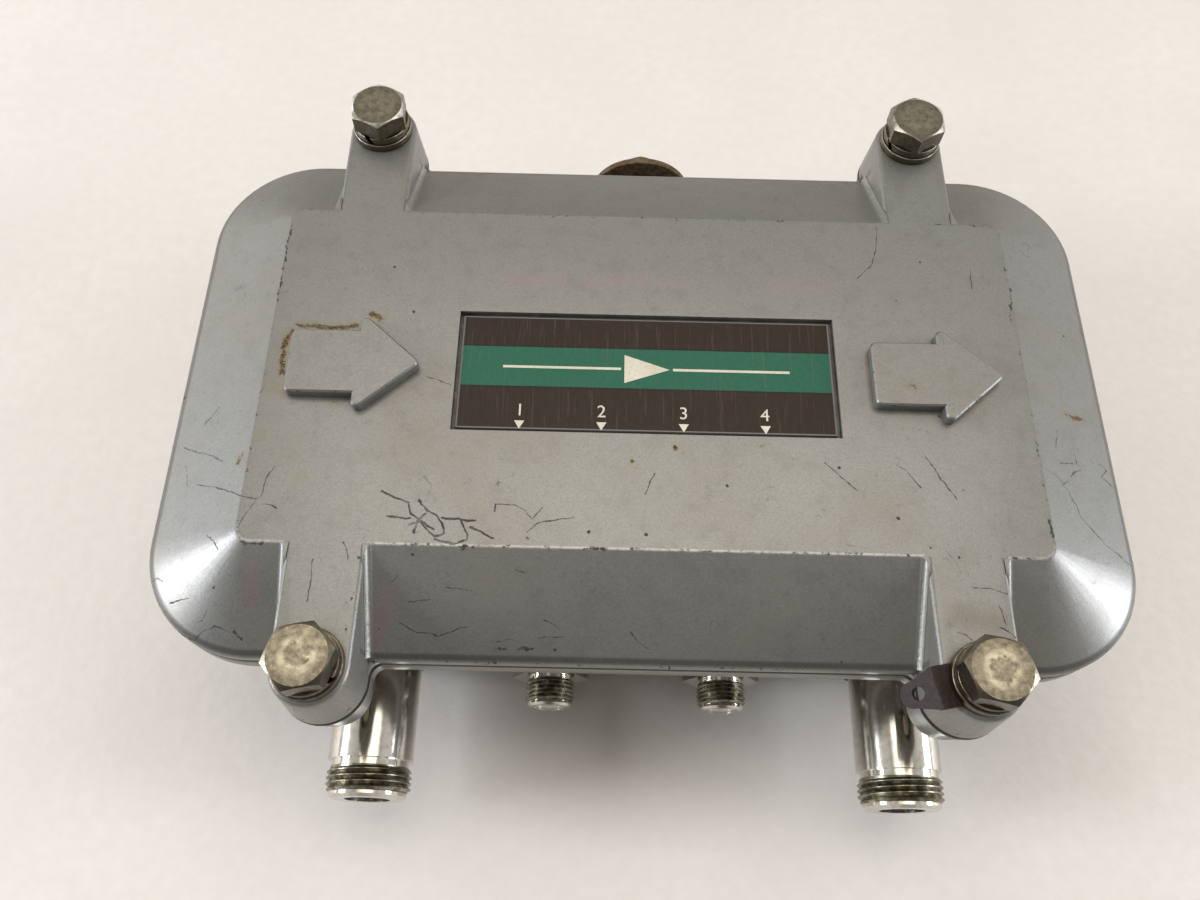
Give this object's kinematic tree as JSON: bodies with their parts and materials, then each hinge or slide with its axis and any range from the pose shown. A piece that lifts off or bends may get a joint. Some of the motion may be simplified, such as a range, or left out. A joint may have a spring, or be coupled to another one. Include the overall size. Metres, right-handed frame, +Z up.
{
  "type": "antenna preamplifier",
  "caption": "Mast-head antenna preamplifier in a die-cast box: bolted cover with raised arrows, coaxial jacks along the front and a tuned amplifier inside.",
  "frame": {"origin": "centre of the base's flat underside", "axes": "+X to the right along the length, the way the cover's arrows point; +Y to the back, away from the ports; +Z up, out of the cover"},
  "size_m": [0.1724, 0.1393, 0.0645],
  "materials": {
    "cast_paint": "die-cast aluminium under worn silver-grey metallic paint",
    "seal_rubber": "black moulded rubber",
    "printed_plate": "printed aluminium plate under clear lacquer",
    "plated_steel": "tarnished zinc plate",
    "rusted_steel": "plated steel gone rusty brown",
    "tinned_lug": "tinned brass, dark with age",
    "nickel_brass": "bright nickel plate on turned brass",
    "gilt_brass": "thin gold plate on brass",
    "ptfe": "waxy white fluoroplastic",
    "glass_laminate": "glass-fibre laminate with green solder mask",
    "tinplate": "thin tinned sheet steel",
    "silvered_wire": "silver-plated copper wire",
    "trimmer_plastic": "cream moulded plastic",
    "rotor_brass": "plain turned brass",
    "transistor_case": "pale ceramic-filled case",
    "relay_case": "dark moulded relay case",
    "coax_jacket": "translucent tan fluoroplastic jacket",
    "yellow_wire": "yellow wire insulation",
    "red_wire": "red wire insulation",
    "black_epoxy": "black moulded epoxy",
    "capacitor_sleeve": "dark blue shrunk sleeve",
    "resistor_lacquer": "tan lacquer"
  },
  "bodies": {
    "base": {"base_housing": "cast_paint", "cover_gasket": "seal_rubber", "hanger_spring_washer": "rusted_steel", "hanger_washer": "rusted_steel", "antenna_jack": "nickel_brass", "transceiver_jack": "nickel_brass", "jack_insulators": "ptfe", "jack_contacts": "gilt_brass", "jack_seals": "seal_rubber", "jack_lock_washers": "plated_steel", "jack_nuts": "nickel_brass", "standby_jack": "nickel_brass", "power_jack": "nickel_brass", "small_jack_insulators": "ptfe", "small_jack_contacts": "gilt_brass", "small_jack_lock_washers": "plated_steel", "small_jack_nuts": "nickel_brass", "circuit_board": "glass_laminate", "board_screws": "plated_steel", "screening_can": "tinplate", "input_coil": "silvered_wire", "output_coil": "silvered_wire", "trimmer_bases": "trimmer_plastic", "transistor": "transistor_case", "input_relay": "relay_case", "output_relay": "relay_case", "antenna_coax": "coax_jacket", "transceiver_coax": "coax_jacket", "bypass_coax": "coax_jacket", "standby_wire": "yellow_wire", "power_wire": "red_wire", "voltage_regulator": "black_epoxy", "smoothing_capacitor": "capacitor_sleeve", "resistors": "resistor_lacquer"},
    "cover": {"cover": "cast_paint", "name_plate": "printed_plate", "spring_washers": "plated_steel", "flat_washers": "plated_steel", "earth_lug": "tinned_lug"},
    "bolt_front_left": {"bolt_front_left": "plated_steel"},
    "bolt_front_right": {"bolt_front_right": "plated_steel"},
    "bolt_rear_left": {"bolt_rear_left": "plated_steel"},
    "bolt_rear_right": {"bolt_rear_right": "plated_steel"},
    "hanger_bolt": {"hanger_bolt": "rusted_steel"},
    "input_trimmer_rotor": {"input_trimmer_rotor": "rotor_brass"},
    "output_trimmer_rotor": {"output_trimmer_rotor": "rotor_brass"}
  },
  "joints": [
    {"name": "cover_lift", "type": "slide", "parent": "base", "child": "cover", "axis": [0, 0, 1], "range_m": [0, 0.06]},
    {"name": "bolt_front_left_turn", "type": "hinge", "parent": "cover", "child": "bolt_front_left", "pos_m": [-0.0534, -0.0545, 0.0597], "axis": [0, 0, 1], "continuous": true},
    {"name": "bolt_front_right_turn", "type": "hinge", "parent": "cover", "child": "bolt_front_right", "pos_m": [0.0534, -0.0545, 0.0597], "axis": [0, 0, 1], "continuous": true},
    {"name": "bolt_rear_left_turn", "type": "hinge", "parent": "cover", "child": "bolt_rear_left", "pos_m": [-0.0534, 0.0545, 0.0597], "axis": [0, 0, 1], "continuous": true},
    {"name": "bolt_rear_right_turn", "type": "hinge", "parent": "cover", "child": "bolt_rear_right", "pos_m": [0.0534, 0.0545, 0.0597], "axis": [0, 0, 1], "continuous": true},
    {"name": "hanger_bolt_turn", "type": "hinge", "parent": "base", "child": "hanger_bolt", "pos_m": [0, 0.0615, 0.0295], "axis": [0, 1, 0], "continuous": true},
    {"name": "input_trimmer_turn", "type": "hinge", "parent": "base", "child": "input_trimmer_rotor", "pos_m": [-0.013, 0.018, 0.0156], "axis": [0, 0, 1], "continuous": true},
    {"name": "output_trimmer_turn", "type": "hinge", "parent": "base", "child": "output_trimmer_rotor", "pos_m": [0.013, 0.018, 0.0156], "axis": [0, 0, 1], "continuous": true}
  ]
}
